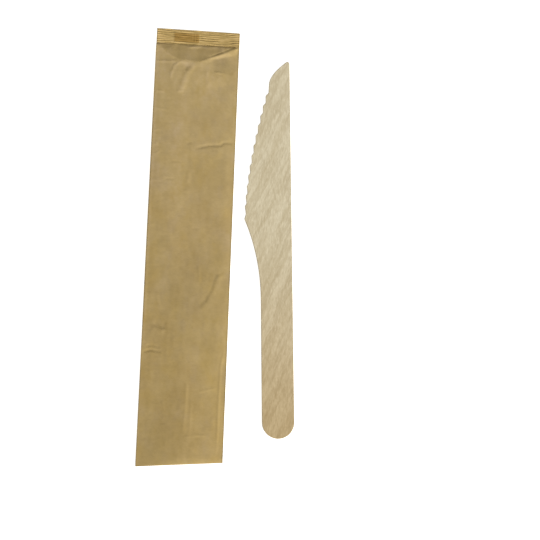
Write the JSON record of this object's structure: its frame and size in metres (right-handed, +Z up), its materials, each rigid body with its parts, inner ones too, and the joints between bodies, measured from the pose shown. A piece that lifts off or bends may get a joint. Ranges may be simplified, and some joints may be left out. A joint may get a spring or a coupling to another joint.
{
  "type": "wooden cutlery pack",
  "caption": "Slim sealed kraft-paper pouch with a crimped end, next to the flat serrated wooden knife that it is made to hold.",
  "frame": {"origin": "middle of the pack's footprint, on the table under the two pieces", "axes": "+Y runs the long way, from the knife's handle and the pouch's plain end to the knife's tip and the pouch's crimped end; +Z is up from the table"},
  "size_m": [0.0672, 0.1924, 0.002],
  "materials": {
    "kraft_paper": "smooth unbleached kraft, faintly creased, with a low sheen",
    "birch_wood": "bare sanded birch veneer, matt"
  },
  "bodies": {
    "root": {"kraft_pouch": "kraft_paper", "wooden_knife": "birch_wood"}
  },
  "joints": []
}
